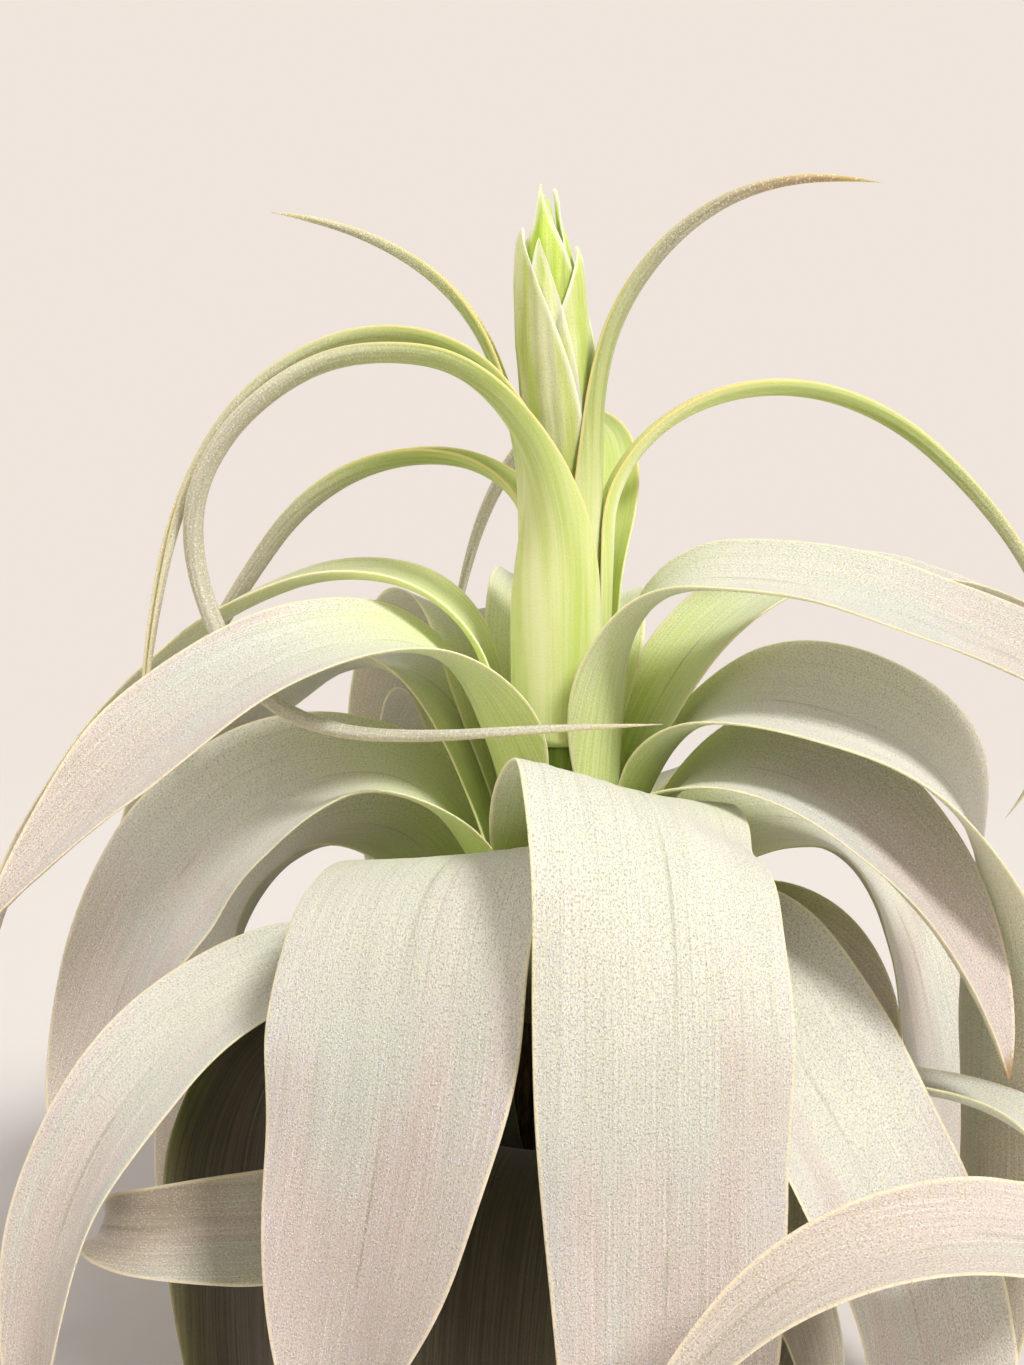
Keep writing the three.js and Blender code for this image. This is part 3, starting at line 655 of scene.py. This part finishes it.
def silver_leaf():
    """Green at the root, then silver grey, creamy on the crest and lilac further down, with fine
    lengthwise veins, a thin fold line down the middle with painted shade along it, and a frost of fine
    pale scales. A light golden margin and a dry brown tip. Old leaves turn grey brown. Painted shade:
    the oldest are painted dark brown low down near the stem, and so is the outer face of a low leaf's
    root, where both lie in shade among the leaves."""
    f = Finish("silver leaf", Sheen_Weight=0.2, Sheen_Roughness=0.5, Specular_IOR_Level=0.3,
               Subsurface_Weight=0.4, Subsurface_Scale=0.0035, Subsurface_Radius=(0.8, 1.0, 0.4))
    lie, across, along, _ = f.field("lie")
    _, edge, face, share = f.field("margin")
    _, age, green, _ = f.field("growth")
    broad = f.grain(lie, (0.11, 0.006, 1.0), 2.0)
    veins = f.grain(lie, (1.9, 0.018, 1.0), 3.0, 0.75)
    cloud = f.grain(lie, (0.05, 0.03, 1.0), 2.0)
    speck = f.cells(lie, (2.1, 1.7, 1.0))
    dust = f.grain(lie, (2.7, 2.0, 1.0), 2.0, 0.65)

    silver = f.blend(f.ease(broad + (cloud - 0.5) * 0.6, 0.36, 0.64), tone(196, 198, 188),
                     tone(214, 209, 201))
    silver = f.blend(f.ease(share, 0.16, 0.3) * (1.0 - f.ease(share, 0.42, 0.62)) * 0.6, silver,
                     tone(222, 222, 200))
    low = f.ease(share + (broad - 0.5) * 0.6 + (cloud - 0.5) * 0.5, 0.42, 0.78)
    silver = f.blend(low * 0.9, silver, tone(199, 182, 175))
    silver = f.blend(f.ease(veins, 0.5, 0.68) * 0.4, silver, tone(236, 232, 222))
    silver = f.blend(f.ease(veins, 0.48, 0.32) * 0.4, silver, tone(168, 168, 148))
    fresh = f.blend(f.ease(veins, 0.3, 0.7), tone(204, 222, 122), tone(232, 240, 178))
    reach = along / (green + 1.0)
    greenness = (1.0 - f.ease(reach + (broad - 0.5) * 0.3, 0.35, 1.3)) * f.ease(green, 1.0, 30.0)
    colour = f.blend(greenness, silver, fresh)
    crease_and_shade = 1.0 - f.ease(abs(across + (broad - 0.5) * 7.0), 0.1, 0.7)
    crease_and_shade = crease_and_shade * f.ease(share, 0.12, 0.25) * f.ease(cloud, 0.42, 0.6)
    # painted shade: the fold line down the middle is painted darker, as the shade in it; the same mask
    # also sinks it as a bump
    colour = f.blend(crease_and_shade * 0.4, colour, tone(150, 148, 122))
    worn = f.blend(f.ease(veins, 0.3, 0.75), tone(140, 127, 100), tone(186, 174, 148))
    worn = f.blend(f.ease(cloud, 0.4, 0.65) * 0.6, worn, tone(122, 104, 76))
    colour = f.blend(f.ease(age + (cloud - 0.5) * 0.5 + (dust - 0.5) * 0.2, 0.25, 0.95) * 0.92, colour,
                     worn)
    frost = (1.0 - f.ease(speck, 0.08, 0.46)) * (1.0 - greenness * 0.7) * (1.0 - age * 0.75)
    colour = f.blend(frost * 0.7, colour, tone(250, 248, 242))
    colour = f.blend(f.ease(dust, 0.53, 0.34) * (1.0 - greenness * 0.7) * 0.6, colour,
                     tone(134, 130, 110))
    rim = 1.0 - f.ease(edge, 0.3, 0.95)
    colour = f.blend(rim * (0.85 - age * 0.5), colour,
                     f.blend(f.ease(share, 0.3, 0.8), tone(244, 234, 184), tone(232, 214, 180)))
    colour = f.blend(f.ease(share + (veins - 0.5) * 0.04, 0.955, 0.99), colour, tone(150, 112, 78))
    place = f.node("ShaderNodeTexCoord", {}, {}, "Object")
    height = f.node("ShaderNodeSeparateXYZ", {}, {0: place}, "Z")
    beside = f.node("ShaderNodeVectorMath", {"operation": "MULTIPLY"}, {0: place, 1: (1.0, 1.0, 0.0)})
    beside = f.node("ShaderNodeVectorMath", {"operation": "LENGTH"}, {0: beside}, "Value")
    # painted shade: the oldest leaves are painted dark brown low down near the stem, where they lie in
    # shade between the front leaves
    painted_deep_shade = (1.0 - f.ease(beside, *PAINTED_SHADE_RADIUS)) * (1.0 - f.ease(height, *PAINTED_SHADE_HEIGHT))
    colour = f.blend(painted_deep_shade * f.ease(age, 0.8, 0.95) * 0.94, colour,
                     f.blend(f.ease(veins, 0.35, 0.7), tone(44, 36, 20), tone(72, 61, 40)))
    # painted shade: the outer face of a low leaf's root is painted dark brown, where it lies in shade
    # in the gaps
    painted_root_shade = f.ease(face, 0.2, -0.2) * (1.0 - f.ease(along + (veins - 0.5) * 20.0, *SHADED_ROOT_REACH))
    painted_root_shade = painted_root_shade * (1.0 - f.ease(height, *SHADED_ROOT_HEIGHT))
    colour = f.blend(painted_root_shade * 0.92, colour, tone(58, 47, 29))
    relief = frost * 0.7 + veins * 0.6 + dust * 0.5 - crease_and_shade * 0.8
    return f.paint(colour, 0.7 + (dust - 0.5) * 0.3, relief, LEAF_RELIEF)


def green_bract():
    """Pale cream green with soft lengthwise veins, fading through olive to a frosted silver tendril
    with thin golden margins; a rusty tip where the growth field's age says so."""
    f = Finish("green bract", **SOFT_GREEN)
    lie, _, along, _ = f.field("lie")
    _, edge, _, share = f.field("margin")
    _, rust, green, _ = f.field("growth")
    veins = f.grain(lie, (1.3, 0.02, 1.0), 2.0, 0.6)
    broad = f.grain(lie, (0.2, 0.014, 1.0), 2.0)
    speck = f.cells(lie, (2.0, 1.6, 1.0))
    dust = f.grain(lie, (2.7, 2.0, 1.0), 2.0, 0.6)
    fresh = f.blend(f.ease(broad, 0.3, 0.72), tone(198, 214, 116), tone(231, 237, 178))
    fresh = f.blend(f.ease(veins, 0.45, 0.75) * 0.35, fresh, tone(234, 239, 196))
    olive = f.blend(f.ease(veins, 0.35, 0.7), tone(158, 170, 92), tone(182, 190, 122))
    grey = f.blend(f.ease(veins, 0.35, 0.7), tone(178, 172, 152), tone(208, 203, 187))
    fade = f.ease(along / (green + 1.0) + (broad - 0.5) * 0.2, 0.62, 1.1)
    colour = f.blend(f.ease(along / (green + 1.0), 0.3, 0.7), fresh, olive)
    colour = f.blend(fade, colour, grey)
    colour = f.blend(f.ease(share, 0.7, 0.97) * rust, colour, tone(176, 132, 106))
    frost = (1.0 - f.ease(speck, 0.08, 0.46)) * (fade * 0.55 + 0.08)
    colour = f.blend(frost, colour, tone(244, 241, 232))
    colour = f.blend(f.ease(dust, 0.52, 0.34) * (fade * 0.35 + 0.08), colour, tone(136, 132, 104))
    rim = (1.0 - f.ease(edge, 0.25, 0.8)) * (0.85 - fade * 0.5)
    colour = f.blend(rim, colour, f.blend(f.ease(along, 20.0, 60.0), tone(236, 238, 190),
                                          tone(226, 206, 142)))
    relief = frost * 0.8 + veins * 0.6 + dust * 0.4
    return f.paint(colour, 0.6 + (dust - 0.5) * 0.25, relief, BRACT_RELIEF)


def spike_green():
    """Pale green sheaths with soft veins and pale thin margins, round a brighter yellow green bud."""
    f = Finish("spike green", **SOFT_GREEN)
    lie = f.field("lie")[0]
    edge = f.field("margin")[1]
    bud = f.field("growth")[1]
    veins = f.grain(lie, (1.5, 0.05, 1.0), 2.0, 0.6)
    broad = f.grain(lie, (0.25, 0.04, 1.0), 2.0)
    dust = f.grain(lie, (2.6, 2.2, 1.0), 2.0, 0.6)
    outer = f.blend(f.ease(broad, 0.32, 0.7), tone(196, 213, 112), tone(230, 236, 176))
    inner = f.blend(f.ease(broad, 0.32, 0.7), tone(168, 198, 56), tone(198, 220, 100))
    colour = f.blend(bud, outer, inner)
    colour = f.blend(f.ease(veins, 0.45, 0.75) * 0.35, colour, tone(232, 238, 190))
    colour = f.blend(f.ease(dust, 0.5, 0.3) * 0.25, colour, tone(140, 166, 62))
    colour = f.blend((1.0 - f.ease(edge, 0.2, 1.5)) * 0.9, colour, tone(238, 242, 204))
    return f.paint(colour, 0.6 + (dust - 0.5) * 0.2, veins * 0.7 + dust * 0.6, SPIKE_RELIEF)


def fibrous_stem():
    """Dry dark brown fibres round the stem, ringed where old leaves have come away, and green at its
    young top."""
    f = Finish("fibrous stem", Specular_IOR_Level=0.2)
    place = f.node("ShaderNodeTexCoord", {}, {}, "Object")
    fibre = f.grain(place, (700.0, 700.0, 60.0), 3.0, 0.65)
    patch = f.grain(place, (90.0, 90.0, 140.0), 2.0)
    colour = f.blend(f.ease(fibre, 0.35, 0.65), tone(48, 36, 22), tone(96, 78, 54))
    colour = f.blend(f.ease(patch, 0.5, 0.7) * 0.5, colour, tone(70, 58, 40))
    height = f.node("ShaderNodeSeparateXYZ", {}, {0: place}, "Z")
    colour = f.blend(f.ease(height, *STEM_GREENS), colour,
                     f.blend(f.ease(fibre, 0.35, 0.65), tone(150, 178, 84), tone(196, 212, 132)))
    return f.paint(colour, 0.9 + (fibre - 0.5) * 0.1, fibre, STEM_RELIEF)


def pale_paper():
    """Plain warm white paper, which glows evenly of itself further out, so that the far part has no
    shadow."""
    f = Finish("pale paper", Roughness=0.9, Specular_IOR_Level=0.0, Emission_Strength=1.0)
    place = f.node("ShaderNodeTexCoord", {}, {}, "Object")
    far = f.ease(f.node("ShaderNodeVectorMath", {"operation": "LENGTH"}, {0: place}, "Value"), 0.3, 0.9)
    f.link(f.blend(far, tone(206, 201, 197), (0.0, 0.0, 0.0, 1.0)), f.shader.inputs["Base Color"])
    f.link(f.blend(far, (0.0, 0.0, 0.0, 1.0), tone(239, 229, 220)), f.shader.inputs["Emission Color"])
    return f.material


# ---------------------------------------------------------------- the plant

LEAF, BRACT, SPIKE, STEM = silver_leaf(), green_bract(), spike_green(), fibrous_stem()
FINISHES = {"leaf": LEAF, "old_leaf": LEAF, "bract": BRACT}
for number, spec in enumerate(LEAVES):
    shape = blade(spec, number + 1)
    place_piece(spec["name"] + "_blade", shape, FINISHES[spec["slot"]], spec["name"])
place_piece("flower_spike", spike_shape(), SPIKE, "spike")
place_piece("ringed_stem", stem_shape(), STEM, "stem")

# ---------------------------------------------------------------- stage, light and camera, in metres

FLOOR_RINGS = [0.3, 0.9]  # radii of the flat floor's inner rings
FLOOR_RADIUS, BEND_RADIUS, WALL_TOP = 1.5, 0.8, 1.6
FLOOR_SIDES, BEND_SECTIONS = 96, 24
ROOM_LIGHT = 0.54
CAMERA_PLACE = (-0.011, -0.3776, 0.2803)
CAMERA_TILT = 78  # degrees up from straight down, so it looks 12 degrees below level
FILM_HEIGHT, FOCAL_LENGTH = 36, 43.456  # millimetres: 45 degrees from bottom to top


def sweep():
    """A flat pale floor that curves up all round into a backdrop, by a quarter circle."""
    turn = np.linspace(0, math.pi / 2, BEND_SECTIONS)
    radii = np.concatenate([FLOOR_RINGS, FLOOR_RADIUS + BEND_RADIUS * np.sin(turn),
                            [FLOOR_RADIUS + BEND_RADIUS]])
    heights = np.concatenate([np.zeros(len(FLOOR_RINGS)), BEND_RADIUS * (1 - np.cos(turn)), [WALL_TOP]])
    verts = np.concatenate([rings_round(radii, heights, FLOOR_SIDES).reshape(-1, 3), [[0, 0, 0]]])
    return verts, ring_quads(len(radii), FLOOR_SIDES), fan(len(verts) - 1, 0, FLOOR_SIDES)


verts, quads, middle = sweep()
mesh = bpy.data.meshes.new("floor")
mesh.from_pydata(verts.tolist(), [], quads.tolist() + middle.tolist())
mesh.shade_smooth()
mesh.materials.append(pale_paper())
floor = bpy.data.objects.new("floor", mesh)
bpy.context.scene.collection.objects.link(floor)


def low_sun(name, towards, strength, spread, colour):
    """A sun shining from that direction, its disc spread degrees across for soft shadow edges."""
    lamp = bpy.data.lights.new(name, "SUN")
    lamp.energy, lamp.angle, lamp.color = strength, math.radians(spread), colour
    holder = bpy.data.objects.new(name, lamp)
    holder.rotation_euler = Vector(towards).to_track_quat("Z", "Y").to_euler()
    bpy.context.scene.collection.objects.link(holder)


low_sun("window", (0.55, -0.62, 1.0), strength=3.2, spread=13, colour=(1, 0.99, 0.975))
low_sun("room fill", (-0.8, -0.5, 0.9), strength=0.5, spread=60, colour=(1, 0.98, 0.97))

world = bpy.data.worlds.new("room")
world.use_nodes = True
world.node_tree.nodes["Background"].inputs["Color"].default_value = tone(240, 237, 234)
world.node_tree.nodes["Background"].inputs["Strength"].default_value = ROOM_LIGHT
bpy.context.scene.world = world
bpy.context.scene.view_settings.view_transform = "Standard"

lens = bpy.data.cameras.new("camera")
lens.sensor_fit, lens.sensor_height, lens.lens = "VERTICAL", FILM_HEIGHT, FOCAL_LENGTH
lens.clip_start, lens.clip_end = 0.01, 20
camera = bpy.data.objects.new("camera", lens)
camera.location = CAMERA_PLACE
camera.rotation_euler = (math.radians(CAMERA_TILT), 0, 0)
bpy.context.scene.collection.objects.link(camera)
bpy.context.scene.camera = camera
